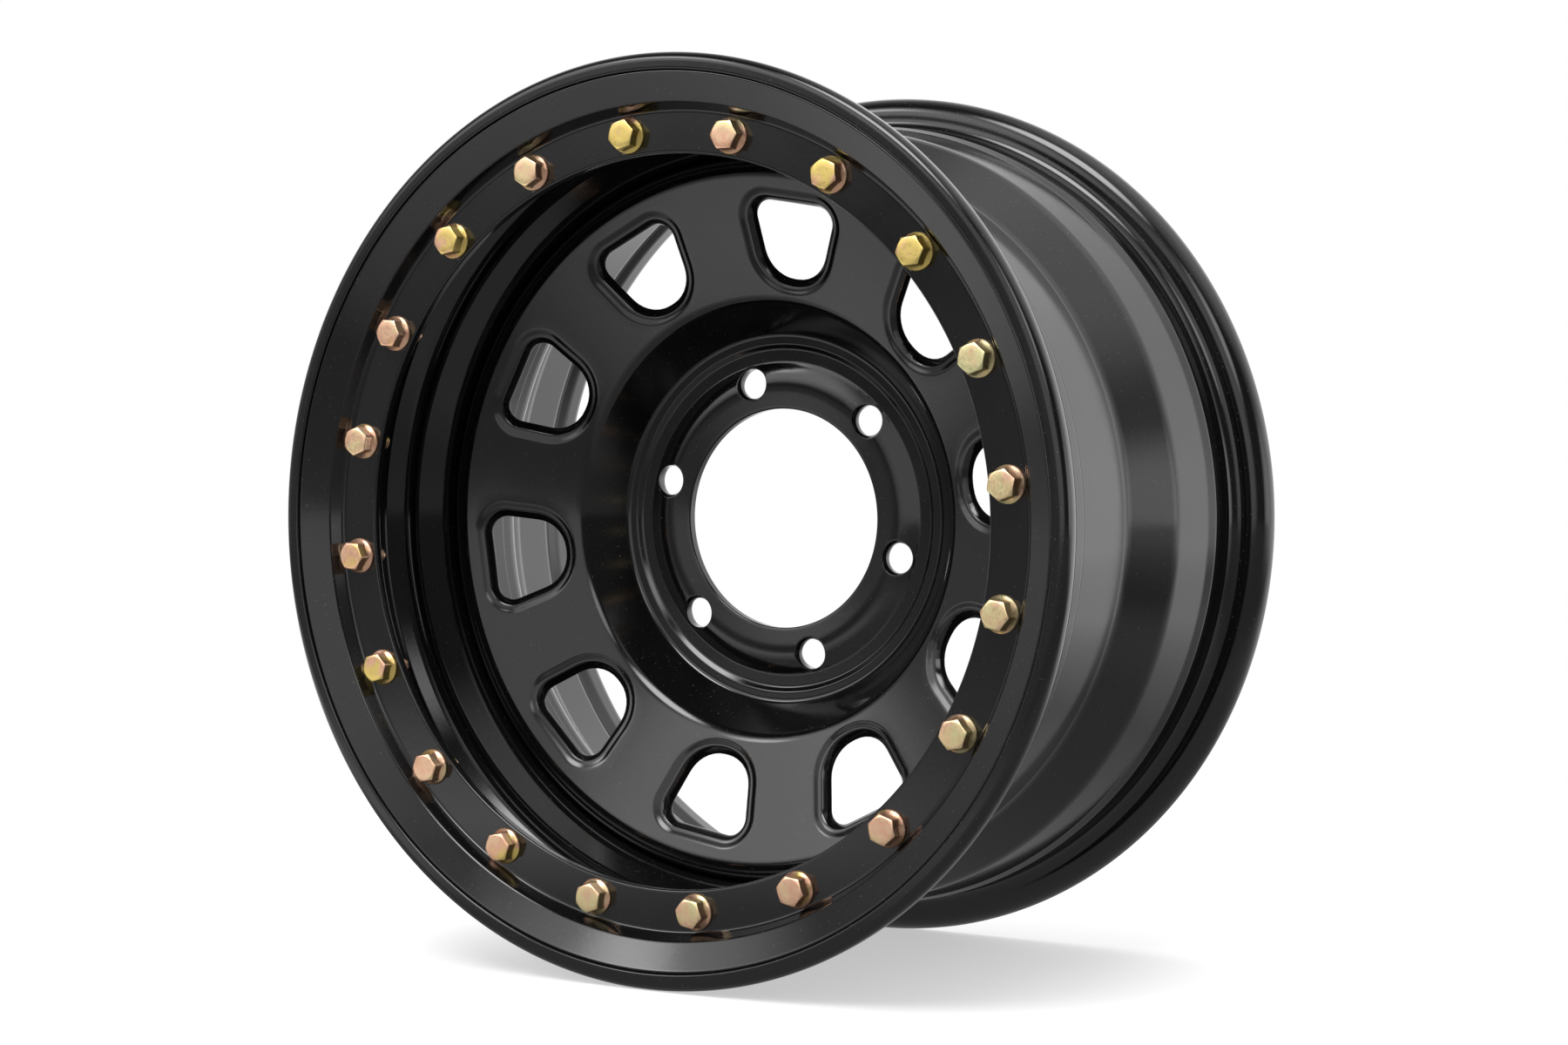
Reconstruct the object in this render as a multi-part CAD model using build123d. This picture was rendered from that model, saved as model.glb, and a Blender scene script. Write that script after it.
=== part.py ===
from build123d import *
import os
from math import atan, atan2, cos, degrees, hypot, radians, sin, tan

# Simulated beadlock wheel, 16 x 8 J, six studs. Sizes in millimetres.
# The axle lies along Y, the outboard face looks along -Y, and Z is up.
# The origin is on the axle, midway between the tyre faces of the two flanges.
# Sections are drawn as (radius, y) pairs and turned about the axle.
# Angles run from +X towards +Z, as seen from outboard.

# Rim: tyre side of the rolled barrel
barrel_sheet = 3.6
rim_width = 203.2             # between the tyre faces of the flanges
bead_seat_radius = 202.8      # at the heel of the seat
bead_seat_length = 14.1       # from heel to toe
bead_seat_fall = 1.4          # drop of the seat from heel to toe
heel_bend = 6.5
toe_bend = 4.0
hump_height = 1.8             # safety hump above the toe of the seat
hump_length = 12.0            # from the toe to the ledge behind the hump
hump_bend = 4.0
flange_height = 17.3          # from the heel of the seat to the top of the lip
flange_reach = 15.2           # from the tyre face to the front of the lip
flange_bend = 9.5
lip_depth = 8.4               # how far the lip turns back down
lip_bend = 4.2
ledge_radius = 201.2          # barrel beside the humps
ledge_bend = 6.0
ledge_edge_bend = 4.0         # outboard ledge into the ramp
step_radius = 193.8           # shallow step between the well and the outboard ledge
step_rise = 13.0              # y run from the well floor up to the step
step_length = 8.5
step_ramp = 7.0               # y run from the step up to the outboard ledge
step_foot_bend = 4.5
step_edge_bend = 8.0
well_radius = 183.1           # tyre side of the drop well
well_outboard_end = -33.0     # y where the well floor ends, outboard
well_inboard_end = 21.0       # y where the well floor ends, inboard
well_bend = 10.0
ramp_radius = 198.2           # top of the inboard ramp
ramp_length = 25.0            # y run of the inboard ramp
ramp_bend = 12.0
valve_hole_diameter = 11.5
valve_hole_angle = 0.0

# Disc: outboard side of the pressed centre
disc_sheet = 5.5
hub_face_y = 12.2             # mounting face, inboard of the wheel's middle
bore_radius = 55.0
bore_edge_rise = 1.4          # front face at the bore, above the seating land
stud_circle_radius = 69.85
stud_count = 6
stud_hole_diameter = 15.0
stud_seat_diameter = 18.5     # mouth of the conical nut seat
stud_seat_angle = 60.0        # included angle of the nut seat
stud_crown_rise = 3.3         # front face at the stud circle, above the seating land
stud_crown_bend = 22.0
land_inner_radius = 78.5      # seating land on the hub
land_outer_radius = 85.0
land_inner_bend = 3.0
land_outer_bend = 2.0
shelf_inner_radius = 87.4     # shelf round the nave
shelf_outer_radius = 92.3
shelf_rise = 1.8              # shelf above the seating land
shelf_edge_bend = 1.4
shelf_foot_bend = 3.0
crown_radius = 108.5          # inner edge of the spoke band
crown_rise = 22.2             # inner edge of the spoke band, above the seating land
crown_bend = 9.0
shoulder_rise = 44.2          # outer edge of the spoke band, above the seating land
shoulder_bend = 9.0
disc_flange_length = 43.5     # from the shoulder's corner back to the flange's edge
disc_clocking = 44.3          # angle of the window and the stud hole that line up

# Windows in the spoke band
window_count = 10
window_inner_margin = 10.2    # spoke band inside the opening
window_outer_margin = 24.0    # spoke band and shoulder outside the opening
window_outer_width = 48.2     # between the corners of the outer side
window_inner_width = 28.4     # between the corners of the inner side
window_outer_corner = 8.0
window_inner_corner = 17.0
window_edge_roll = 3.5        # rounding of the opening's front edge
window_border = 8.0           # pressed border round the opening
window_border_depth = 1.2

# Ring: outboard side of the dished ring, from the lip inwards
ring_sheet = 5.0
ring_edge_recess = 0.4        # outer edge behind the front of the lip
ring_band_width = 14.2        # sloping band from the lip to the crease
ring_crease_offset = 6.9      # crease in front of the outboard tyre face
ring_crease_bend = 1.5
ring_riser_run = 3.3          # riser from the crease in to the land
ring_land_offset = 0.4        # land in front of the outboard tyre face
ring_land_bend = 1.6
ring_land_margin = 1.1        # land outside the bolt heads
ring_inner_margin = 1.5       # land inside the bolt heads
ring_clocking = 5.9           # angle of the first bolt

# Bolts in the ring
bolt_count = 20
bolt_shank_diameter = 8.0
bolt_length = 16.0            # under the head
bolt_head_height = 8.0
bolt_across_flats = 13.0
bolt_flange_diameter = 17.6
bolt_flange_edge = 1.1        # flange thickness at its rim
bolt_flange_rise = 2.8        # height of the flange's cone at the hexagon
bolt_hole_clearance = 0.1     # in radius, between shank and tapped hole
# where each hexagon stopped when it was tightened, to the nearest five degrees
bolt_stops = (50, 50, 35, 5, 30, 45, 60, 40, 25, 50, 25, 45, 40, 40, 50, 20, 20, 10, 40, 20)

# Weld beads
disc_weld_count = 8
disc_weld_leg = 5.0
disc_weld_arc = 24.0
ring_weld_count = 10
ring_weld_leg = 4.5
ring_weld_arc = 9.0

edge_round = 1.0              # cut edges of the sheets

# Worked out from the sizes above
outboard_face = -rim_width / 2
inboard_face = rim_width / 2
lip_radius = bead_seat_radius + flange_height
lip_end_radius = lip_radius - lip_depth
well_inside_radius = well_radius - barrel_sheet
land_front = hub_face_y - disc_sheet
spoke_slope = (crown_rise - shoulder_rise) / (well_inside_radius - crown_radius)
spoke_tilt = atan(-spoke_slope)
window_inner_radius = crown_radius + window_inner_margin
window_outer_radius = well_inside_radius - window_outer_margin
window_middle_radius = (window_inner_radius + window_outer_radius) / 2
window_height = (window_outer_radius - window_inner_radius) / cos(spoke_tilt)
ring_land_y = outboard_face - ring_land_offset
ring_crease_radius = lip_end_radius - ring_band_width
ring_land_radius = ring_crease_radius - ring_riser_run
bolt_circle_radius = ring_land_radius - ring_land_margin - bolt_flange_diameter / 2
ring_inner_radius = bolt_circle_radius - bolt_flange_diameter / 2 - ring_inner_margin
far_cut = 4 * disc_sheet      # how far a cutter reaches either side of a sheet


def turned(shape, angle):
    """The shape turned about the axle, from +X towards +Z."""
    return Rot(0, -angle, 0) * shape


def far_corner(before, corner, after, sheet):
    """Corner on a sheet's far side, and whether its bend is wider (1) or tighter (-1) there."""
    length_in = hypot(corner[0] - before[0], corner[1] - before[1])
    length_out = hypot(after[0] - corner[0], after[1] - corner[1])
    run_in = ((corner[0] - before[0]) / length_in, (corner[1] - before[1]) / length_in)
    run_out = ((after[0] - corner[0]) / length_out, (after[1] - corner[1]) / length_out)
    turn = run_in[0] * run_out[1] - run_in[1] * run_out[0]
    lean = 1 + run_in[0] * run_out[0] + run_in[1] * run_out[1]
    shift_r = -(run_in[1] + run_out[1]) * sheet / lean
    shift_y = (run_in[0] + run_out[0]) * sheet / lean
    return (corner[0] + shift_r, corner[1] + shift_y), (1 if turn < 0 else -1)


def far_end(end, neighbour, sheet, leaving):
    """Far-side point at a sheet's end, which is cut along the axle or square to it."""
    length = hypot(neighbour[0] - end[0], neighbour[1] - end[1])
    run_r = (neighbour[0] - end[0]) / length * leaving
    run_y = (neighbour[1] - end[1]) / length * leaving
    if abs(run_r) > abs(run_y):
        return (end[0], end[1] + sheet / run_r)
    return (end[0] - sheet / run_y, end[1])


def sheet_section(corners, bends, sheet):
    """Section of a bent sheet: one side from corners and bend radii, the other a sheet away.

    The far side lies left of the path from the first corner to the last, or right if sheet < 0.
    """
    far = [far_end(corners[0], corners[1], sheet, 1)]
    far_bends = []
    for before, corner, after, bend in zip(corners, corners[1:], corners[2:], bends):
        point, wider = far_corner(before, corner, after, sheet)
        far.append(point)
        far_bends.append(max(bend + wider * sheet, edge_round / 2))
    far.append(far_end(corners[-1], corners[-2], sheet, -1))
    radii = [edge_round, *bends, edge_round, edge_round, *far_bends[::-1], edge_round]
    return make_face(FilletPolyline(*corners, *far[::-1], radius=radii, close=True))


def rim_flange(face, side):
    """Tyre-side corners and bends from the lip's end to the ledge behind the hump."""
    toe = face - side * bead_seat_length
    toe_radius = bead_seat_radius - bead_seat_fall
    corners = [
        (lip_end_radius, face + side * flange_reach),
        (lip_radius, face + side * flange_reach),
        (lip_radius, face),
        (bead_seat_radius, face),
        (toe_radius, toe),
        (toe_radius + hump_height, toe - side * hump_length / 2),
        (ledge_radius, toe - side * hump_length),
    ]
    return corners, [lip_bend, flange_bend, heel_bend, toe_bend, hump_bend, ledge_bend]


def make_rim():
    """Rolled barrel, drilled for the valve."""
    outboard, outboard_bends = rim_flange(outboard_face, -1)
    inboard, inboard_bends = rim_flange(inboard_face, 1)
    step_inner = well_outboard_end - step_rise
    step_outer = step_inner - step_length
    middle = [
        (ledge_radius, step_outer - step_ramp),
        (step_radius, step_outer),
        (step_radius, step_inner),
        (well_radius, well_outboard_end),
        (well_radius, well_inboard_end),
        (ramp_radius, well_inboard_end + ramp_length),
    ]
    middle_bends = [ledge_edge_bend, step_foot_bend, step_edge_bend, well_bend, well_bend, ramp_bend]
    corners = outboard + middle + inboard[::-1]
    bends = outboard_bends + middle_bends + inboard_bends[::-1]
    rim = revolve(sheet_section(corners, bends, barrel_sheet), Axis.Y)
    # the valve hole is square to the slope between the well and the step
    slope = degrees(atan2(step_radius - well_radius, step_rise))
    slope_middle = ((step_radius + well_radius) / 2, (step_inner + well_outboard_end) / 2)
    drill = Rot(0, 90, 0) * Cylinder(valve_hole_diameter / 2, far_cut)
    drill = Pos(*slope_middle, 0) * Rot(0, 0, slope) * drill
    return rim - turned(drill, valve_hole_angle)


def spoke_front(radius):
    """y of the spoke band's front at a radius."""
    return land_front - crown_rise + spoke_slope * (radius - crown_radius)


def window_plane(angle):
    """Plane on the spoke band at a window's middle: x along the rim, y outwards, z out of the face."""
    a = radians(angle)
    middle = (window_middle_radius * cos(a), spoke_front(window_middle_radius), window_middle_radius * sin(a))
    facing = (-sin(spoke_tilt) * cos(a), -cos(spoke_tilt), -sin(spoke_tilt) * sin(a))
    return Plane(origin=middle, x_dir=(sin(a), 0, -cos(a)), z_dir=facing)


def window_corner_radii():
    """Radii of the outer and inner corners, as asked for where the window's sides leave room."""
    lean = atan2((window_outer_width - window_inner_width) / 2, window_height)
    side = window_height / cos(lean)
    outer_reach = window_outer_corner / tan((radians(90) - lean) / 2)
    inner_reach = window_inner_corner / tan((radians(90) + lean) / 2)
    room = min(1.0, 0.95 * side / (outer_reach + inner_reach))
    outer_room = min(room, 0.95 * window_outer_width / (2 * outer_reach))
    inner_room = min(room, 0.95 * window_inner_width / (2 * inner_reach))
    return outer_room * window_outer_corner, inner_room * window_inner_corner


def window_outline(angle, border):
    """Outline of a window on the spoke band, or of the wider border round it."""
    corners = [
        (-window_outer_width / 2, window_height / 2),
        (window_outer_width / 2, window_height / 2),
        (window_inner_width / 2, -window_height / 2),
        (-window_inner_width / 2, -window_height / 2),
    ]
    outer, inner = window_corner_radii()
    outline = make_face(FilletPolyline(*corners, radius=[outer, outer, inner, inner], close=True))
    if border:
        outline = offset(outline, border)
    return window_plane(angle) * outline


def window_front_edges(disc, angle):
    """Edges round the front of the window at an angle."""
    line = window_outline(angle, 0).face().outer_wire()
    middle = line.center()
    near = window_outer_width
    close = 0.7 * disc_sheet
    edges = [edge for edge in disc.edges() if (edge.center() - middle).length < near]
    return [edge for edge in edges if line.distance_to(edge.center()) < close]


def border_layer():
    """Layer of the spoke band's front that the pressed borders are cut from."""
    inner = crown_radius - window_border
    outer = well_inside_radius
    section = Polyline(
        (inner, spoke_front(inner) + window_border_depth),
        (outer, spoke_front(outer) + window_border_depth),
        (outer, spoke_front(outer) - disc_sheet),
        (inner, spoke_front(inner) - disc_sheet),
        close=True,
    )
    return revolve(make_face(section), Axis.Y)


def stud_cutter():
    """Stud hole with its conical nut seat, on the stud circle at +X."""
    mouth = stud_seat_diameter / 2
    hole = stud_hole_diameter / 2
    depth = (mouth - hole) / tan(radians(stud_seat_angle / 2))
    section = Polyline(
        (0, -depth),
        (2 * mouth - hole, -depth),
        (hole, depth),
        (hole, far_cut),
        (0, far_cut),
        close=True,
    )
    crown_front = land_front - stud_crown_rise
    return Pos(stud_circle_radius, crown_front, 0) * revolve(make_face(section), Axis.Y)


def make_disc():
    """Pressed centre with windows, stud holes and an outer flange that sits in the well."""
    corners = [
        (bore_radius, land_front - bore_edge_rise),
        (stud_circle_radius, land_front - stud_crown_rise),
        (land_inner_radius, land_front),
        (land_outer_radius, land_front),
        (shelf_inner_radius, land_front - shelf_rise),
        (shelf_outer_radius, land_front - shelf_rise),
        (crown_radius, land_front - crown_rise),
        (well_inside_radius, land_front - shoulder_rise),
        (well_inside_radius, land_front - shoulder_rise + disc_flange_length),
    ]
    bends = [stud_crown_bend, land_inner_bend, land_outer_bend, shelf_edge_bend, shelf_foot_bend,
             crown_bend, shoulder_bend]
    disc = revolve(sheet_section(corners, bends, disc_sheet), Axis.Y)
    angles = [disc_clocking + k * 360 / window_count for k in range(window_count)]
    layer = border_layer()
    for angle in angles:
        disc -= extrude(window_outline(angle, window_border), far_cut, both=True) & layer
    # the roll leaves a little straight wall behind it
    roll = min(window_edge_roll, 0.85 * (disc_sheet - window_border_depth))
    for angle in angles:
        disc -= extrude(window_outline(angle, 0), far_cut, both=True)
        disc = fillet(window_front_edges(disc, angle), roll)
    stud_hole = stud_cutter()
    for k in range(stud_count):
        disc -= turned(stud_hole, disc_clocking + k * 360 / stud_count)
    return disc


def make_ring():
    """Dished ring inside the outboard lip, drilled for the bolts."""
    corners = [
        (lip_end_radius, outboard_face - flange_reach + ring_edge_recess),
        (ring_crease_radius, outboard_face - ring_crease_offset),
        (ring_land_radius, ring_land_y),
        (ring_inner_radius, ring_land_y),
    ]
    ring = revolve(sheet_section(corners, [ring_crease_bend, ring_land_bend], -ring_sheet), Axis.Y)
    drill = Rot(90, 0, 0) * Cylinder(bolt_shank_diameter / 2 + bolt_hole_clearance, far_cut)
    drill = Pos(bolt_circle_radius, ring_land_y, 0) * drill
    for k in range(bolt_count):
        ring -= turned(drill, ring_clocking + k * 360 / bolt_count)
    return ring


def make_bolt():
    """One flange bolt along Y: bearing face at y = 0, head towards -Y, a flat facing +X."""
    flat = bolt_across_flats / 2
    corner = flat / cos(radians(30))
    chamfer = corner - flat
    flange_radius = bolt_flange_diameter / 2
    shank_radius = bolt_shank_diameter / 2
    tip = shank_radius / 4
    flange_and_shank = Polyline(
        (0, -bolt_flange_rise),
        (flat, -bolt_flange_rise),
        (flange_radius, -bolt_flange_edge),
        (flange_radius, 0),
        (shank_radius, 0),
        (shank_radius, bolt_length - tip),
        (shank_radius - tip, bolt_length),
        (0, bolt_length),
        close=True,
    )
    head_envelope = Polyline(
        (0, 0),
        (corner + chamfer, 0),
        (corner + chamfer, chamfer - bolt_head_height),
        (flat - chamfer / 2, -bolt_head_height),
        (0, -bolt_head_height),
        close=True,
    )
    hexagon = extrude(Plane.XZ * RegularPolygon(corner, 6, rotation=30), bolt_head_height)
    head = hexagon & revolve(make_face(head_envelope), Axis.Y)
    return head + revolve(make_face(flange_and_shank), Axis.Y)


def make_bolts():
    """Bolts round the ring, each with its hexagon where it stopped."""
    bolt = make_bolt()
    bolts = []
    for k in range(bolt_count):
        angle = ring_clocking + k * 360 / bolt_count
        stop = bolt_stops[k % len(bolt_stops)]
        placed = Pos(bolt_circle_radius, ring_land_y, 0) * turned(bolt, stop - angle)
        bolts.append(turned(placed, angle))
    return Compound(children=bolts)


def weld_beads(corners, count, arc, clocking):
    """Equal beads of one section round the axle, each centred on its angle."""
    bead = revolve(make_face(Polyline(*corners, close=True)), Axis.Y, arc)
    bead = turned(bead, arc / 2)
    return Compound(children=[turned(bead, clocking + k * 360 / count) for k in range(count)])


def make_disc_welds():
    """Beads in the corner between the disc's flange edge and the well."""
    edge = land_front - shoulder_rise + disc_flange_length
    corners = [
        (well_inside_radius, edge),
        (well_inside_radius, edge + disc_weld_leg),
        (well_inside_radius - disc_sheet + edge_round, edge),
    ]
    return weld_beads(corners, disc_weld_count, disc_weld_arc, disc_clocking)


def make_ring_welds():
    """Beads between the ring's back and the inside of the outboard bead seat, between bolts."""
    taper = bead_seat_fall / bead_seat_length
    seat_inside = bead_seat_radius - barrel_sheet / cos(atan(taper))
    ring_back = ring_land_y + ring_sheet
    seat_start = outboard_face + heel_bend
    seat_end = seat_start + ring_weld_leg
    root = bolt_circle_radius + bolt_flange_diameter / 2
    corners = [
        (root - ring_weld_leg, ring_back),
        (root, ring_back),
        (seat_inside - taper * (seat_start - outboard_face), seat_start),
        (seat_inside - taper * (seat_end - outboard_face), seat_end),
    ]
    between_bolts = ring_clocking + 180 / bolt_count
    return weld_beads(corners, ring_weld_count, ring_weld_arc, between_bolts)


os.makedirs("parts", exist_ok=True)
nodes = {
    "rim": make_rim(),
    "disc": make_disc(),
    "beadlock_ring": make_ring(),
    "ring_bolts": make_bolts(),
    "disc_welds": make_disc_welds(),
    "ring_welds": make_ring_welds(),
}
for name, shape in nodes.items():
    export_step(shape, f"parts/{name}.step")
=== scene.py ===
from math import acos, atan, ceil, cos, degrees, hypot, pi, radians, sin, tan

import bmesh
import bpy
import numpy as np
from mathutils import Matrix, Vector


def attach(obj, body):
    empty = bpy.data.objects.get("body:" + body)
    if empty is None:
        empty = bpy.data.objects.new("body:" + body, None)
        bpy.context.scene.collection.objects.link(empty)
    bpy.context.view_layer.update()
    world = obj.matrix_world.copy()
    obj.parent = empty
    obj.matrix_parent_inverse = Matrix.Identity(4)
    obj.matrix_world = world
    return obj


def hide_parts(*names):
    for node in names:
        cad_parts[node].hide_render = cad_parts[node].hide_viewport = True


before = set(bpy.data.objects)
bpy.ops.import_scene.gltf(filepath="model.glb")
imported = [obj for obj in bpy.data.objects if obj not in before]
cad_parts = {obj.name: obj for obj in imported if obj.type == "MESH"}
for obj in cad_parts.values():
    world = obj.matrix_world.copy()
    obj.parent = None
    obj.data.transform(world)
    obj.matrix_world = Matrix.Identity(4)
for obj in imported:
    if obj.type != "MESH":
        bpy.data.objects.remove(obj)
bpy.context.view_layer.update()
scene = bpy.context.scene
scene.view_settings.view_transform = "Standard"


# Camera: to the right of the axle and almost level with it, about a metre and a half away.
# The lens is a short telephoto, as for a product picture.
camera = bpy.data.objects.new("camera", bpy.data.cameras.new("camera"))
scene.collection.objects.link(camera)
camera.location = (0.8059, -1.3071, 0.0326)
sight_line = Vector((0.0047, 0.0, -0.00198)) - camera.location
camera.rotation_euler = sight_line.to_track_quat("-Z", "Y").to_euler()
camera.data.sensor_width = 36.0
camera.data.lens = 70.4
scene.camera = camera


# Rim: the barrel of the wheel, rolled from 3.6 mm steel strip with J flanges, humped bead seats
# and a drop well, and drilled for the valve in the slope beside the well. The outline is drawn on
# the tyre side, and the inside follows one sheet away. Sizes are in millimetres, as (radius, y).
def rounded(corners, radii, closed):
    """Points along an outline with rounded corners, every 12 degrees or less on the bends."""
    corners = [np.array(corner, dtype=float) for corner in corners]
    count = len(corners)
    towards = []
    for i in range(count):
        run = corners[(i + 1) % count] - corners[i]
        towards.append(run / np.linalg.norm(run))
    halves = [acos(np.clip(-towards[i - 1] @ towards[i], -1, 1)) / 2 for i in range(count)]
    reaches = [radius / tan(half) if radius else 0.0 for radius, half in zip(radii, halves)]
    points = []
    for i in range(count):
        corner, radius, reach = corners[i], radii[i], reaches[i]
        if radius:
            start = corner - towards[i - 1] * reach
            inwards = towards[i] - towards[i - 1]
            middle = corner + inwards / np.linalg.norm(inwards) * radius / sin(halves[i])
            side = np.sign(towards[i - 1][0] * towards[i][1] - towards[i - 1][1] * towards[i][0])
            turn = side * (pi - 2 * halves[i])
            steps = max(2, ceil(abs(degrees(turn)) / 12))
            for k in range(steps + 1):
                c, s = cos(turn * k / steps), sin(turn * k / steps)
                points.append(middle + np.array([[c, -s], [s, c]]) @ (start - middle))
        else:
            points.append(corner)
        if closed or i < count - 1:
            # two more points keep a straight run's shading flat right up to its bends
            length = np.linalg.norm(corners[(i + 1) % count] - corner)
            after = length - reaches[(i + 1) % count]
            if after - reach > 1.5:
                points.append(corner + towards[i] * (reach + 0.5))
                points.append(corner + towards[i] * (after - 0.5))
    return np.array(points)


def far_side(corners, bends, sheet):
    """Corners and bends on the other side of a bent sheet, left of the path if sheet > 0."""
    corners = [np.array(corner, dtype=float) for corner in corners]
    runs = [b - a for a, b in zip(corners, corners[1:])]
    runs = [run / np.linalg.norm(run) for run in runs]
    far = []
    far_bends = []
    for end, run in ((0, runs[0]), (-1, runs[-1])):
        across_axle = abs(run[0]) > abs(run[1])
        shift = (0, sheet / run[0]) if across_axle else (-sheet / run[1], 0)
        far.append(corners[end] + shift)
    for corner, run, after, bend in zip(corners[1:], runs, runs[1:], bends):
        shift = np.array([-(run[1] + after[1]), run[0] + after[0]]) * sheet / (1 + run @ after)
        far.insert(-1, corner + shift)
        turns_left = run[0] * after[1] - run[1] * after[0] > 0
        far_bends.append(max(bend - sheet if turns_left else bend + sheet, 0.5))
    return far, far_bends


def sheet_outline(corners, bends, sheet):
    """Closed section of a bent sheet with its two cut edges rounded."""
    edge = 1.0
    far, far_bends = far_side(corners, bends, sheet)
    radii = [edge, *bends, edge, edge, *far_bends[::-1], edge]
    return rounded([*corners, *far[::-1]], radii, True)


def spun(path, angles):
    """Grid of points, one row for each angle about the axle in degrees, of a (radius, y) path."""
    a = np.radians(angles)[:, None]
    radius, y = path[:, 0], path[:, 1]
    return np.stack([radius * np.cos(a), y + 0 * a, radius * np.sin(a)], axis=-1)


def grid_faces(points, wrap_rows=False, wrap_columns=False):
    """Four-cornered faces over a grid of points, which are counted row by row."""
    rows, columns = points.shape[:2]
    i, j = np.meshgrid(
        np.arange(rows if wrap_rows else rows - 1),
        np.arange(columns if wrap_columns else columns - 1), indexing="ij")
    i2, j2 = (i + 1) % rows, (j + 1) % columns
    corners = [i * columns + j, i2 * columns + j, i2 * columns + j2, i * columns + j2]
    return np.stack(corners, axis=-1).reshape(-1, 4)


def new_piece(name, patches):
    """One smooth mesh object, in metres, from patches of (points in mm, faces), joined where they meet."""
    points = np.concatenate([patch[0].reshape(-1, 3) for patch in patches]) * 0.001
    counts = np.cumsum([0] + [patch[0].size // 3 for patch in patches])
    faces = np.concatenate([patch[1] + first for patch, first in zip(patches, counts)])
    mesh = bpy.data.meshes.new(name)
    mesh.from_pydata(points.tolist(), [], faces.tolist())
    shape = bmesh.new()
    shape.from_mesh(mesh)
    bmesh.ops.remove_doubles(shape, verts=shape.verts, dist=2e-6)
    bmesh.ops.recalc_face_normals(shape, faces=shape.faces)
    for face in shape.faces:
        face.smooth = True
    shape.to_mesh(mesh)
    shape.free()
    piece = bpy.data.objects.new(name, mesh)
    scene.collection.objects.link(piece)
    return piece


def drilled(piece, drills):
    """Cuts the drills out of a piece and removes them."""
    for drill in drills:
        cut = piece.modifiers.new("drill", "BOOLEAN")
        cut.operation = "DIFFERENCE"
        cut.solver = "EXACT"
        cut.object = drill
    bpy.context.view_layer.update()
    seen = piece.evaluated_get(bpy.context.evaluated_depsgraph_get())
    piece.modifiers.clear()
    piece.data = bpy.data.meshes.new_from_object(seen)
    for drill in drills:
        bpy.data.objects.remove(drill)


def linear(hex_colour):
    """sRGB hex to the linear RGBA that shaders take."""
    srgb = [int(hex_colour[i:i + 2], 16) / 255 for i in (1, 3, 5)]
    return [c / 12.92 if c <= 0.04045 else ((c + 0.055) / 1.055) ** 2.4 for c in srgb] + [1.0]


def add(tree, kind, settings=None, in_order=(), stops=(), **inputs):
    """Adds a node with its settings and colour stops; an input is a value, or a socket to link from."""
    node = tree.nodes.new("ShaderNode" + kind)
    for name, value in (settings or {}).items():
        setattr(node, name, value)
    if stops:
        ramp = node.color_ramp.elements
        while len(ramp) < len(stops):
            ramp.new(0.5)
        for stop, (position, colour) in zip(ramp, stops):
            stop.position = position
            stop.color = linear(colour)
    named = [(node.inputs[name.replace("_", " ")], value) for name, value in inputs.items()]
    for socket, value in [*zip(node.inputs, in_order), *named]:
        if isinstance(value, bpy.types.NodeSocket):
            tree.links.new(value, socket)
        else:
            socket.default_value = value
    return node


# Gloss black powder coat: a baked polyester skin on steel. It mirrors its surroundings with a
# slight orange peel, about 2.5 mm from crest to crest, and carries a little settled dust.
paint = bpy.data.materials.new("gloss_black_powder_coat")
paint.use_nodes = True
tree = paint.node_tree
tree.nodes.clear()
place = add(tree, "TexCoord").outputs["Object"]
peel = add(tree, "TexNoise", Vector=place, Scale=1 / 0.0025, Detail=1.0, Roughness=0.4)
peel_bump = add(tree, "Bump", Height=peel.outputs["Fac"], Strength=0.6, Distance=0.000012)
clouds = add(tree, "TexNoise", Vector=place, Scale=1 / 0.035, Detail=3.0, Roughness=0.55)
gloss = add(tree, "MapRange", Value=clouds.outputs["Fac"], From_Min=0.3, From_Max=0.7,
            To_Min=0.09, To_Max=0.15)
# dust grains are 0.2 mm or so, drawn at 1 mm so that they show
grains = add(tree, "TexNoise", Vector=place, Scale=1 / 0.0010, Detail=0.0)
dust = add(tree, "ValToRGB", stops=((0.0, "#0b0b0c"), (0.76, "#0b0b0c"), (0.86, "#3a3937")),
           Fac=grains.outputs["Fac"])
coat = add(tree, "BsdfPrincipled", Base_Color=dust.outputs["Color"], Roughness=gloss.outputs["Result"],
           IOR=1.58, Normal=peel_bump.outputs["Normal"])
add(tree, "OutputMaterial", Surface=coat.outputs["BSDF"])

rim_sheet = 3.6
half_width = 101.6
lip_radius = 220.1
lip_end = 211.7
lip_depth = 15.2
seat_radius = 202.8
seat_fall = 1.4
seat_run = 14.1
ledge_radius = 201.2
step_radius = 193.8
well_radius = 183.1


def flange_side(face, side):
    """Tyre-side corners from the lip's end to the ledge behind the hump."""
    lip = face + side * lip_depth
    return [(lip_end, lip), (lip_radius, lip), (lip_radius, face), (seat_radius, face),
            (seat_radius - seat_fall, face - side * seat_run), (203.2, face - side * 20.1),
            (ledge_radius, face - side * 26.1)]


flange_bends = [4.2, 9.5, 6.5, 4.0, 4.0, 6.0]
slope_start, slope_end = (step_radius, -46.0), (well_radius, -33.0)
well_corners = [(ledge_radius, -61.5), (step_radius, -54.5), slope_start, slope_end,
                (well_radius, 21.0), (198.2, 46.0)]
well_bends = [4.0, 4.5, 8.0, 10.0, 10.0, 12.0]
rim_corners = flange_side(-half_width, -1) + well_corners + flange_side(half_width, 1)[::-1]
rim_bends = flange_bends + well_bends + flange_bends[::-1]
rim_outline = sheet_outline(rim_corners, rim_bends, rim_sheet)
rim_points = spun(rim_outline, np.arange(0, 360, 1.2))
rim = new_piece("rim_barrel", [(rim_points, grid_faces(rim_points, wrap_rows=True, wrap_columns=True))])
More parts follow.
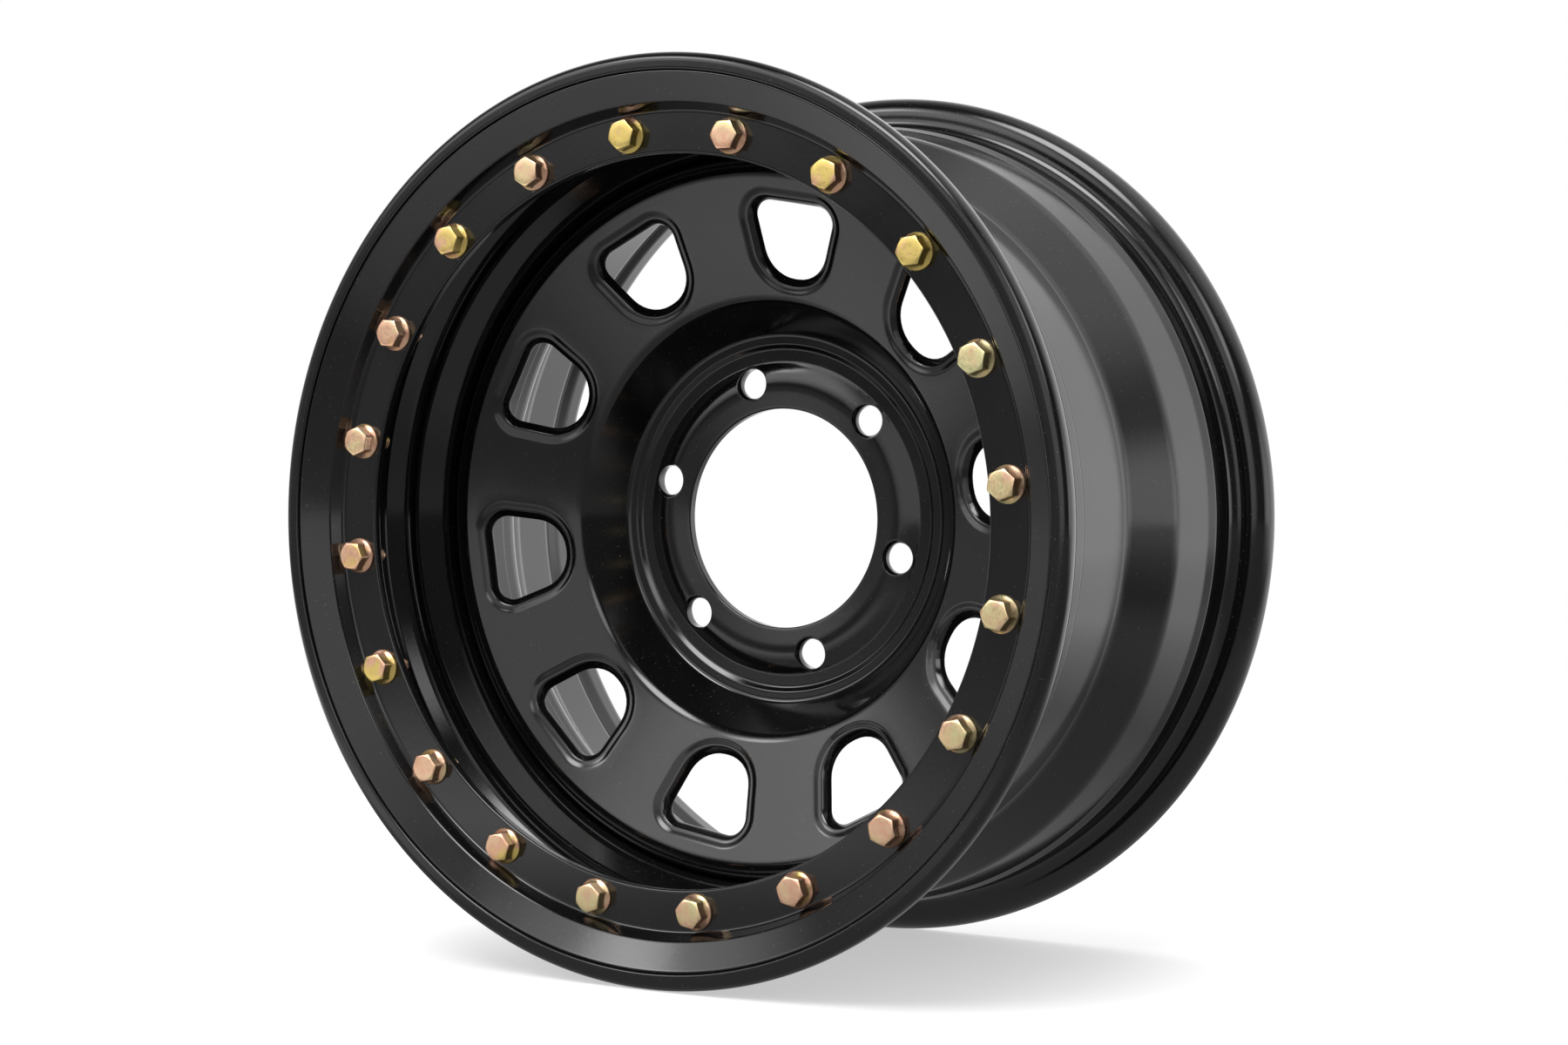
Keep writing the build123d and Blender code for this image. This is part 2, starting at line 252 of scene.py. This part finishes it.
# the valve hole goes square through the middle of the slope, at +X
valve_hole = 0.00575
slope_fall, slope_run = slope_start[0] - slope_end[0], slope_end[1] - slope_start[1]
slope_middle = (np.array(slope_start) + slope_end) / 2 * 0.001
bpy.ops.mesh.primitive_cylinder_add(vertices=48, radius=valve_hole, depth=0.03)
valve_drill = bpy.context.object
valve_drill.location = (*slope_middle, 0.0)
valve_drill.rotation_euler = Vector((slope_run, slope_fall, 0.0)).to_track_quat("Z", "Y").to_euler()
drilled(rim, [valve_drill])
rim.data.materials.clear()
rim.data.materials.append(paint)
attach(rim, "root")
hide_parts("rim")


# Disc: the wheel's centre, pressed from 5.5 mm plate. Its nave is dished for the hub, and ten windows
# with rolled edges and pressed borders leave broad spokes between them. The flange is pushed into the
# drop well and welded there.
disc_sheet = 5.5
disc_clocking = 44.3
stud_circle = 69.85
nave_face = 3.4
crown_corner = (108.5, -15.5)
flange_radius = well_radius - rim_sheet
flange_corner = (flange_radius, -37.5)
flange_end = 6.0
disc_corners = [(55.0, 5.3), (stud_circle, nave_face), (78.5, 6.7), (85.0, 6.7), (87.4, 4.9), (92.3, 4.9),
                crown_corner, flange_corner, (flange_radius, flange_end)]
disc_bends = [22.0, 3.0, 2.0, 1.4, 3.0, 9.0, 9.0]
back_corners, back_bends = far_side(disc_corners, disc_bends, disc_sheet)
front_line = rounded(disc_corners, [0, *disc_bends, 0], False)
back_line = rounded(back_corners, [0, *back_bends, 0], False)


def height(line, radius):
    """y of a side of the disc at a radius, inside the shoulder."""
    return np.interp(radius, line[:, 0], line[:, 1])


def on_disc(line, radius, angle):
    """Points of a side of the disc, from radius and angle in degrees."""
    a = np.radians(angle)
    return np.stack([radius * np.cos(a), height(line, radius), radius * np.sin(a)], axis=-1)


def frame_round(inner, outer, half_angle, along, across):
    """Radius and angle of points round a patch's border, from its inner left corner."""
    sweep = np.linspace(-half_angle, half_angle, along + 1)
    rise = np.linspace(inner, outer, across + 1)
    radius = np.concatenate([np.full(along, inner), rise[:-1], np.full(along, outer), rise[:0:-1]])
    angle = np.concatenate([sweep[:-1], np.full(across, half_angle), sweep[:0:-1],
                            np.full(across, -half_angle)])
    return radius, angle


def fanned(line, loop, border, steps):
    """Loops that spread on a side of the disc from a loop to a patch's border, both (radius, angle)."""
    shares = np.linspace(0, 1, steps + 1)[1:]
    return [on_disc(line, loop[0] + s * (border[0] - loop[0]), loop[1] + s * (border[1] - loop[1]))
            for s in shares]


def polar(points):
    """Radius and angle in degrees of points near +X."""
    return np.hypot(points[:, 0], points[:, 2]), np.degrees(np.arctan2(points[:, 2], points[:, 0]))


def copies(points, count):
    """A patch near +X, repeated about the axle from the disc's clocking."""
    patches = []
    for k in range(count):
        a = radians(disc_clocking + k * 360 / count)
        turn = np.array([[cos(a), 0, -sin(a)], [0, 1, 0], [sin(a), 0, cos(a)]])
        patches.append((points @ turn.T, grid_faces(points, wrap_columns=True)))
    return patches


# each window sits square to the cone of the spoke band:
# u runs round the wheel, v outwards and w out of the face
windows = 10
half_pitch = 180 / windows
window_circle = 137.1
window_middle = (window_circle, height(front_line, window_circle))
cone = atan((crown_corner[1] - flange_corner[1]) / (flange_corner[0] - crown_corner[0]))
half_length = 19.26
inner_half = 14.2
outer_half = 24.1
window_quad = [(-inner_half, -half_length), (inner_half, -half_length),
               (outer_half, half_length), (-outer_half, half_length)]
window_line = rounded(window_quad, [17.0, 17.0, 8.0, 8.0], True)

# each side of a window's edge has as many points as the side of the patch's border that it faces
steps_round, steps_out = 36, 24
fine = np.concatenate([np.linspace(a, b, 12, endpoint=False) for a, b in
                       zip(window_line, np.roll(window_line, -1, axis=0))])
spans = np.linalg.norm(np.roll(fine, -1, axis=0) - fine, axis=1)
travel = np.concatenate([[0], np.cumsum(spans)])
quarter_at = [int(np.argmin(np.linalg.norm(fine - corner, axis=1))) for corner in window_quad]
quarter_at.append(quarter_at[0] + len(fine))
stations = []
for start, end, count in zip(quarter_at, quarter_at[1:], (steps_round, steps_out) * 2):
    a = travel[start % len(fine)]
    b = travel[end % len(fine)]
    stations.append(np.linspace(a, b if b > a else b + travel[-1], count, endpoint=False))
stations = np.concatenate(stations) % travel[-1]
closed_line = np.vstack([fine, fine[:1]])
slope_line = np.roll(fine, -6, axis=0) - np.roll(fine, 6, axis=0)
slope_line = np.vstack([slope_line, slope_line[:1]])
window_edge = np.stack([np.interp(stations, travel, closed_line[:, k]) for k in (0, 1)], axis=-1)
edge_run = np.stack([np.interp(stations, travel, slope_line[:, k]) for k in (0, 1)], axis=-1)
edge_out = np.stack([edge_run[:, 1], -edge_run[:, 0]], axis=-1)
edge_out /= np.linalg.norm(edge_out, axis=1)[:, None]


def lifted(uv, w):
    """Points of a window at +X, w out of the face."""
    radial = window_middle[0] + uv[:, 1] * cos(cone) - w * sin(cone)
    y = window_middle[1] - uv[:, 1] * sin(cone) - w * cos(cone)
    return np.stack([radial, y, uv[:, 0]], axis=-1)


def lift_of(line, uv):
    """w at which a window's points lie on a side of the disc."""
    w = np.zeros(len(uv))
    for _ in range(12):
        points = lifted(uv, w)
        w += (points[:, 1] - height(line, np.hypot(points[:, 0], points[:, 2]))) * cos(cone) * 0.9
    return w


# loops run from the back of the spoke band through the window and over its rolled edge to the front
band_inner = 111.4
shoulder = 167.4
sector = frame_round(band_inner, shoulder, half_pitch, steps_round, steps_out)
back_reach = 7.0
outer_back = window_edge + edge_out * back_reach
loops = fanned(back_line, polar(lifted(outer_back, lift_of(back_line, outer_back))), sector, 3)[::-1]
for distance in (back_reach, 4.0, 0.8, 0.4):
    uv = window_edge + edge_out * distance
    loops.append(lifted(uv, lift_of(back_line, uv)))
back_w = lift_of(back_line, window_edge)
loops.append(lifted(window_edge + edge_out * 0.1, back_w + 0.1))
loops.append(lifted(window_edge, back_w + 0.4))
roll = 3.4
roll_depth = 4.0
roll_pull = 0.7
border_depth = 1.0
for share in np.linspace(0, 1, 9):
    # the roll starts at a crease on the border and steepens until it is square to the face
    bulge = 2 * roll_pull * share * (1 - share) + (1 - share) ** 2
    uv = window_edge + edge_out * roll * share ** 2
    loops.append(lifted(uv, lift_of(front_line, uv) - border_depth - roll_depth * bulge))
# the border is narrower towards the nave, where the crown of the disc begins
border_start = 3.8
border_width = 4.6
narrowed = 1 - 0.22 * np.clip(-edge_out[:, 1:], 0, 1)
for distance in (3.6, 4.1, 4.6, 5.2, 5.8, 6.4, 7.0, 7.6, 8.1, 8.5):
    share = np.clip((distance - border_start) / border_width, 0, 1)
    sunk = border_depth * (1 - share * share * (3 - 2 * share))
    uv = window_edge + edge_out * (roll + (distance - roll) * narrowed)
    loops.append(lifted(uv, lift_of(front_line, uv) - sunk))
loops += fanned(front_line, polar(loops[-1]), sector, 4)
window_patches = copies(np.array(loops), windows)

# stud holes with conical nut seats, six on a 139.7 mm circle
studs = 6
stud_hole = 7.5
nut_seat = 9.25
nut_slope = tan(radians(30))
nave_inner, nave_outer = 57.0, 78.0
stud_half = 12
stud_round, stud_out = 24, 14
stud_border = frame_round(nave_inner, nave_outer, stud_half, stud_round, stud_out)
quarter_turns = [np.linspace(a, a + 90, n, endpoint=False) for a, n in
                 ((-135, stud_round), (-45, stud_out), (45, stud_round), (135, stud_out))]
round_hole = np.radians(np.concatenate(quarter_turns))


def seat_loop(reach, y):
    """A loop round the stud hole at +X, reach from its middle."""
    x = stud_circle + reach * np.sin(round_hole)
    z = reach * np.cos(round_hole)
    return np.stack([x, y + 0 * x, z], axis=-1)


def beside_stud(reach):
    """Radius and angle of points round a stud hole, reach from its middle."""
    return polar(seat_loop(reach, 0.0))


def seat_y(reach):
    """y of the nut's seat, which widens towards the front."""
    return nave_face + (nut_seat - reach) / nut_slope


seat_mouth = np.full(len(round_hole), nut_seat)
for _ in range(30):
    sunk = height(front_line, beside_stud(seat_mouth)[0]) - nave_face
    seat_mouth += 0.5 * (nut_seat - sunk * nut_slope - seat_mouth)
loops = fanned(back_line, beside_stud(stud_hole + 0.8), stud_border, 5)[::-1]
loops += [on_disc(back_line, *beside_stud(stud_hole + reach)) for reach in (0.8, 0.4)]
back_y = height(back_line, beside_stud(stud_hole)[0])
loops.append(seat_loop(stud_hole + 0.1, back_y - 0.1))
loops.append(seat_loop(stud_hole, back_y - 0.4))
loops.append(seat_loop(stud_hole, seat_y(stud_hole) + 0.2))
for share in (0.04, 0.3, 0.6, 0.85, 0.97):
    reach = stud_hole + share * (seat_mouth - stud_hole)
    loops.append(seat_loop(reach, seat_y(reach)))
mouth_y = height(front_line, beside_stud(seat_mouth)[0])
loops.append(seat_loop(seat_mouth + 0.05, mouth_y + 0.12))
loops += [on_disc(front_line, *beside_stud(seat_mouth + reach)) for reach in (0.3, 0.6, 1.4)]
loops += fanned(front_line, beside_stud(seat_mouth + 1.4), stud_border, 7)
stud_patches = copies(np.array(loops), studs)

# the rest of the disc is round: the bore, the flange, the land, shelf and slope up to the crown,
# and the plain nave between the stud holes
edge = 1.0
every_degree = disc_clocking + half_pitch + np.arange(360)
bore_path = rounded([(nave_inner, height(back_line, nave_inner)), back_corners[0], disc_corners[0],
                     (nave_inner, height(front_line, nave_inner))], [0, edge, edge, 0], False)
flange_path = rounded(
    [(shoulder, height(front_line, shoulder)), flange_corner, disc_corners[-1], back_corners[-1],
     back_corners[-2], (shoulder, height(back_line, shoulder))],
    [0, disc_bends[-1], edge, edge, back_bends[-1], 0], False)
round_patches = []
for path in (bore_path, flange_path):
    points = spun(path, every_degree)
    round_patches.append((points, grid_faces(points, wrap_rows=True)))
for line in (front_line, back_line):
    inside = line[(line[:, 0] > nave_outer + 0.3) & (line[:, 0] < band_inner - 0.1), 0]
    radii = np.concatenate([[nave_outer], inside, [band_inner]])
    points = spun(np.stack([radii, height(line, radii)], axis=-1), every_degree)
    round_patches.append((points, grid_faces(points, wrap_rows=True)))
    radii = np.linspace(nave_inner, nave_outer, stud_out + 1)
    stud_pitch = 360 // studs
    for k in range(studs):
        angles = disc_clocking + stud_pitch * k + np.arange(stud_half, stud_pitch - stud_half + 1)
        points = spun(np.stack([radii, height(line, radii)], axis=-1), angles)
        round_patches.append((points, grid_faces(points)))
disc = new_piece("pressed_disc", window_patches + stud_patches + round_patches)
disc.data.materials.append(paint)
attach(disc, "root")
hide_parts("disc")


# Disc welds: eight beads of weld metal run round the edge of the disc's flange, inside the well.
# They are laid before painting, so they carry the same black coat over their ripples.
def beads(section, bulge, arc, count, clocking):
    """Beads with a rippled back: a section's first and last points are the toes on the two plates."""
    ripple = 2.6
    around = 10
    section = np.array(section)
    toe_a, toe_b = section[0], section[-1]
    across = toe_b - toe_a
    out = np.array([-across[1], across[0]]) / hypot(*across)
    if out @ (section[1] - toe_a) > 0:
        out = -out
    length = radians(arc) * toe_a[0]
    steps = int(length / ripple * 6)
    s = np.linspace(0, 1, around + 2 - len(section))[:, None]
    patches = []
    for k in range(count):
        angles = clocking + k * 360 / count + np.linspace(-arc / 2, arc / 2, steps + 1)
        rows = []
        for i, angle in enumerate(angles):
            share = i / steps
            end = min(1.0, 5 * min(share, 1 - share)) ** 0.5
            wave = 0.8 + 0.2 * abs(sin(pi * share * length / ripple))
            crown = toe_a + across * s + out * (4 * s * (1 - s)) * bulge * wave * end
            rows.append(spun(np.vstack([crown, section[-2:0:-1]]), np.array([angle]))[0])
        points = np.array(rows)
        faces = [grid_faces(points, wrap_columns=True)]
        for first in (0, steps * around):
            cap = [(first + j, first + j + 1, first + j + 2, first) for j in range(1, around - 2, 2)]
            faces.append(np.array(cap))
        patches.append((points, np.concatenate(faces)))
    return patches


weld_gap = 0.05
flange_inside = flange_radius - weld_gap
flange_foot = flange_end + weld_gap
disc_weld_section = [(flange_inside, 10.9), (flange_inside, flange_foot), (175.05, flange_foot)]
disc_weld_beads = beads(disc_weld_section, bulge=0.9, arc=24.0, count=8, clocking=disc_clocking)
disc_welds = new_piece("disc_weld_beads", disc_weld_beads)
disc_welds.data.materials.append(paint)
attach(disc_welds, "root")
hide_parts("disc_welds")


# Ring: a dished ring of 5 mm plate, pressed to a sloping band and a flat land, that stands inside the
# outboard lip and makes the wheel look like a beadlock. It is drilled for the bolts.
ring_sheet = 5.0
ring_face = -102.0
ring_back = ring_face + ring_sheet
ring_corners = [(lip_end, -116.4), (197.5, -108.5), (194.2, ring_face), (174.0, ring_face)]
ring_outline = sheet_outline(ring_corners, [1.5, 1.6], -ring_sheet)
ring_points = spun(ring_outline, np.arange(0, 360, 0.75))
ring = new_piece("dished_ring", [(ring_points, grid_faces(ring_points, wrap_rows=True, wrap_columns=True))])
bolt_circle = 184.3
bolt_count = 20
bolt_pitch = 360 / bolt_count
bolt_clocking = 5.9
bolt_hole = 0.0041
bolt_angles = [bolt_clocking + bolt_pitch * k for k in range(bolt_count)]
bolt_drills = []
for angle in bolt_angles:
    a = radians(angle)
    bpy.ops.mesh.primitive_cylinder_add(vertices=40, radius=bolt_hole, depth=0.03)
    drill = bpy.context.object
    drill.location = (0.001 * bolt_circle * cos(a), 0.0005 * (ring_face + ring_back),
                      0.001 * bolt_circle * sin(a))
    drill.rotation_euler = (pi / 2, 0, 0)
    bolt_drills.append(drill)
drilled(ring, bolt_drills)
ring.data.materials.clear()
ring.data.materials.append(paint)
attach(ring, "root")
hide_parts("beadlock_ring")


# Ring welds: ten short beads join the back of the ring to the inside of the outboard bead seat,
# between the bolts. They are painted with the wheel.
seat_inside = seat_radius - rim_sheet / cos(atan(seat_fall / seat_run))
ring_foot = ring_back + weld_gap
ring_weld_section = [(188.65, ring_foot), (193.1, ring_foot),
                     (seat_inside - 0.7, -95.1), (seat_inside - 1.14, -90.6)]
between_bolts = bolt_clocking + bolt_pitch / 2
ring_weld_beads = beads(ring_weld_section, bulge=0.7, arc=9.0, count=10, clocking=between_bolts)
ring_welds = new_piece("ring_weld_beads", ring_weld_beads)
ring_welds.data.materials.append(paint)
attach(ring_welds, "root")
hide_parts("ring_welds")


# Ring bolts: M8 hexagon flange bolts of steel in tapped holes round the ring, each left where it
# came tight. They are plated, so they keep their own colour against the paint.
bolt_stops = (50, 50, 35, 5, 30, 45, 60, 40, 25, 50, 25, 45, 40, 40, 50, 20, 20, 10, 40, 20)
flat = 6.5
spread = np.array([0, 8, 16, 22, 26, 28, 29.2, 30, 30.8, 32, 34, 38, 44, 52])
around_hexagon = np.concatenate([spread + 60 * k for k in range(6)])
from_flat = np.radians((around_hexagon + 30) % 60 - 30)
blunt_corner = 0.978 * flat / cos(radians(30))
hexagon = np.minimum(flat / np.cos(from_flat), blunt_corner)
plain = 0 * hexagon  # a plain loop is round
collar = 8.8
collar_top, collar_edge = 2.8, 1.1


def collar_height(reach):
    """Height of the bolt's conical collar over its bearing face."""
    return collar_top - (reach - flat) * (collar_top - collar_edge) / (collar - flat)


head = 8.0
top_flat = 5.9
chamfer = tan(radians(24))
chamfer_height = head - (hexagon - top_flat) * chamfer
chamfer_start = np.maximum(hexagon - 0.22 - top_flat, 0.22)
thread = 4.0
plain_shank = 5.1
bolt_end = 16.0
bolt_loops = [
    (plain, head), (plain + 3.0, head), (plain + top_flat - 0.25, head), (plain + top_flat, head - 0.04),
    (plain + top_flat + 0.2, head - 0.2 * chamfer),
    (top_flat + chamfer_start, head - chamfer_start * chamfer),
    (hexagon - 0.05, chamfer_height - 0.06), (hexagon, chamfer_height - 0.3),
    (hexagon, collar_height(hexagon) + 0.7), (hexagon + 0.08, collar_height(hexagon) + 0.25),
    (hexagon + 0.35, collar_height(hexagon + 0.35)), (plain + collar - 0.5, collar_height(collar - 0.5)),
    (plain + collar - 0.18, 1.17), (plain + collar - 0.03, 0.95), (plain + collar, 0.6),
    (plain + collar - 0.05, 0.15), (plain + collar - 0.2, 0.0), (plain + thread + 0.4, 0.0),
    (plain + thread + 0.05, -0.2), (plain + thread, -0.6), (plain + thread, -plain_shank),
]
thread_pitch = 1.25
thread_depth = 0.36
for step in range(1, 26):
    depth = plain_shank + step * thread_pitch / 3
    groove = np.abs(((depth / thread_pitch - around_hexagon / 360) % 1) * 2 - 1) * min(1, step / 3)
    taper = max(0.0, depth - bolt_end + 0.8) * 0.9
    bolt_loops.append((thread - thread_depth * groove - taper, -depth))
bolt_loops += [(plain + 2.6, -bolt_end), (plain, -bolt_end)]
bolt_patches = []
for angle, stop in zip(bolt_angles, bolt_stops):
    turn = np.radians(around_hexagon + stop)
    rows = []
    for reach, rise in bolt_loops:
        x = bolt_circle * cos(radians(angle)) + reach * np.cos(turn)
        z = bolt_circle * sin(radians(angle)) + reach * np.sin(turn)
        rows.append(np.stack([x, ring_face - rise + plain, z], axis=-1))
    points = np.array(rows)
    bolt_patches.append((points, grid_faces(points, wrap_columns=True)))
bolts = new_piece("ring_flange_bolts", bolt_patches)

# Yellow zinc plate: a thin chromate film over zinc on steel. It is a soft metal shine that drifts
# between straw gold, pink and pale green from bolt to bolt and within each one.
zinc = bpy.data.materials.new("yellow_zinc_plate")
zinc.use_nodes = True
tree = zinc.node_tree
tree.nodes.clear()
place = add(tree, "TexCoord").outputs["Object"]
drift = add(tree, "TexNoise", Vector=place, Scale=1 / 0.042, Detail=0.0)
blotches = add(tree, "TexNoise", Vector=place, Scale=1 / 0.006, Detail=2.0, Roughness=0.6)
film = add(tree, "Math", {"operation": "MULTIPLY_ADD"},
           (blotches.outputs["Fac"], 0.55, drift.outputs["Fac"]))
film_stops = ((0.50, "#f0e8b0"), (0.64, "#f6dcaa"), (0.74, "#f8cfab"), (0.86, "#f5bfa2"), (1.0, "#f2d680"))
film_colour = add(tree, "ValToRGB", stops=film_stops, Fac=film.outputs["Value"])
scuffs = add(tree, "TexNoise", Vector=place, Scale=1 / 0.0012, Detail=2.0)
shine = add(tree, "MapRange", Value=scuffs.outputs["Fac"], From_Min=0.3, From_Max=0.7,
            To_Min=0.27, To_Max=0.40)
plate_bump = add(tree, "Bump", Height=scuffs.outputs["Fac"], Strength=0.4, Distance=0.00002)
plate = add(tree, "BsdfPrincipled", Base_Color=film_colour.outputs["Color"], Metallic=1.0,
            Roughness=shine.outputs["Result"], Normal=plate_bump.outputs["Normal"])
add(tree, "OutputMaterial", Surface=plate.outputs["BSDF"])
bolts.data.materials.append(zinc)
bolts.data.set_sharp_from_angle(angle=radians(38))
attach(bolts, "root")
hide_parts("ring_bolts")


# Studio: a white floor sheet under the wheel, a broad lamp above it and walls that grow brighter behind
# the wheel. Soft lamps glow in front of it, above it and to its right. To the camera the walls and the
# floor away from the wheel are white, and the floor keeps the wheel's shadow. To every other ray the
# floor is a glowing sheet whose glow is painted light, with painted shade close round the wheel.
floor_level = -0.001 * (lip_radius + 0.1)
bpy.ops.mesh.primitive_plane_add(size=12.0, location=(0.0, 0.0, floor_level))
floor = bpy.context.object
floor.name = "floor"
floor_white = bpy.data.materials.new("white_floor_sheet")
floor_white.use_nodes = True
tree = floor_white.node_tree
tree.nodes.clear()
seen_by = add(tree, "LightPath")
spot = add(tree, "TexCoord").outputs["Object"]
away = add(tree, "VectorMath", {"operation": "LENGTH"}, (spot,))
paper = add(tree, "BsdfDiffuse", Color=linear("#f2f2f2"))
spot_parts = add(tree, "SeparateXYZ", Vector=spot)
bearing = add(tree, "Math", {"operation": "DIVIDE"}, (spot_parts.outputs["Y"], away.outputs["Value"]))
far_off = add(tree, "MapRange", Value=bearing.outputs["Value"], From_Min=-0.15, From_Max=0.6,
              To_Min=0.3, To_Max=1.6)
distant = add(tree, "MapRange", Value=away.outputs["Value"], From_Min=0.8, From_Max=2.2,
              To_Min=0.0, To_Max=1.0)
right_front = add(tree, "VectorMath", {"operation": "DOT_PRODUCT"}, (spot, (0.8, -0.6, 0.0)))
side = add(tree, "MapRange", Value=right_front.outputs["Value"], From_Min=0.1, From_Max=0.5,
           To_Min=1.2, To_Max=0.25)
# painted shade: the floor's glow, seen in reflections and bounced light, drops to 0.35 within 0.35 m of the
# wheel and is back to full by 0.75 m
glow_with_painted_shade = add(tree, "MapRange", Value=away.outputs["Value"], From_Min=0.35, From_Max=0.75,
           To_Min=0.35, To_Max=side.outputs["Result"])
glow = add(tree, "Mix", Factor=distant.outputs["Result"], A=glow_with_painted_shade.outputs["Result"],
           B=far_off.outputs["Result"])
to_lens = add(tree, "Mix", Factor=seen_by.outputs["Is Camera Ray"], A=glow.outputs["Result"], B=1.0)
glare = add(tree, "Emission", Color=(1, 1, 1, 1), Strength=to_lens.outputs["Result"])
shaded = add(tree, "MapRange", Value=away.outputs["Value"], From_Min=0.25, From_Max=1.0,
             To_Min=0.5, To_Max=0.0)
paper_share = add(tree, "Math", {"operation": "MULTIPLY"},
                  (shaded.outputs["Result"], seen_by.outputs["Is Camera Ray"]))
sheet = add(tree, "MixShader", in_order=(paper_share.outputs["Value"], glare.outputs["Emission"],
                                         paper.outputs["BSDF"]))
add(tree, "OutputMaterial", Surface=sheet.outputs["Shader"])
floor.data.materials.append(floor_white)

lamp = bpy.data.lights.new("lamp_above", "AREA")
lamp.shape = "RECTANGLE"
lamp.size = 2.6
lamp.size_y = 2.6
lamp.energy = 75.0
panel = bpy.data.objects.new("lamp_above", lamp)
panel.location = (-0.3, -0.2, 2.2)
panel.visible_glossy = False
scene.collection.objects.link(panel)

world = bpy.data.worlds.new("studio")
scene.world = world
world.use_nodes = True
tree = world.node_tree
tree.nodes.clear()
seen_by = add(tree, "LightPath")
towards = add(tree, "TexCoord").outputs["Generated"]
direction = add(tree, "SeparateXYZ", Vector=towards)
behind = add(tree, "MapRange", Value=direction.outputs["Y"], From_Min=-0.15, From_Max=0.6,
             To_Min=0.12, To_Max=1.6)
level = add(tree, "MapRange", Value=direction.outputs["Z"], From_Min=0.12, From_Max=0.9,
            To_Min=1.0, To_Max=0.45)
total = add(tree, "Math", {"operation": "MULTIPLY"}, (behind.outputs["Result"], level.outputs["Result"]))
# each soft lamp: the way it lies, the cosines at its edge and at its full core, and its strength
soft_lamps = (
    ((-0.53, -0.70, 0.48), 0.90, 0.985, 2.0),
    ((-0.52, -0.64, 0.56), 0.985, 0.997, 5.0),
    ((0.0, -0.58, 0.81), 0.95, 0.985, 9.0),
    ((0.48, -0.73, 0.47), 0.965, 0.99, 3.0),
    ((0.08, -0.99, 0.12), 0.80, 0.97, 0.9),
    ((-0.90, -0.42, 0.05), 0.80, 0.98, 0.35),
    ((0.985, 0.17, 0.0), 0.93, 0.985, 1.1),
    ((0.40, 0.05, 0.91), 0.75, 0.97, 0.8),
)
for facing, edge, core, strength in soft_lamps:
    near = add(tree, "VectorMath", {"operation": "DOT_PRODUCT"}, (towards, facing))
    glow = add(tree, "MapRange", {"interpolation_type": "SMOOTHSTEP"}, Value=near.outputs["Value"],
               From_Min=edge, From_Max=core, To_Min=0.0, To_Max=strength)
    total = add(tree, "Math", {"operation": "ADD"}, (total.outputs["Value"], glow.outputs["Result"]))
white = add(tree, "Background", Color=(1, 1, 1, 1), Strength=1.0)
walls = add(tree, "Background", Color=(1, 1, 1, 1), Strength=total.outputs["Value"])
surroundings = add(tree, "MixShader", in_order=(seen_by.outputs["Is Camera Ray"],
                                                walls.outputs["Background"], white.outputs["Background"]))
add(tree, "OutputWorld", Surface=surroundings.outputs["Shader"])
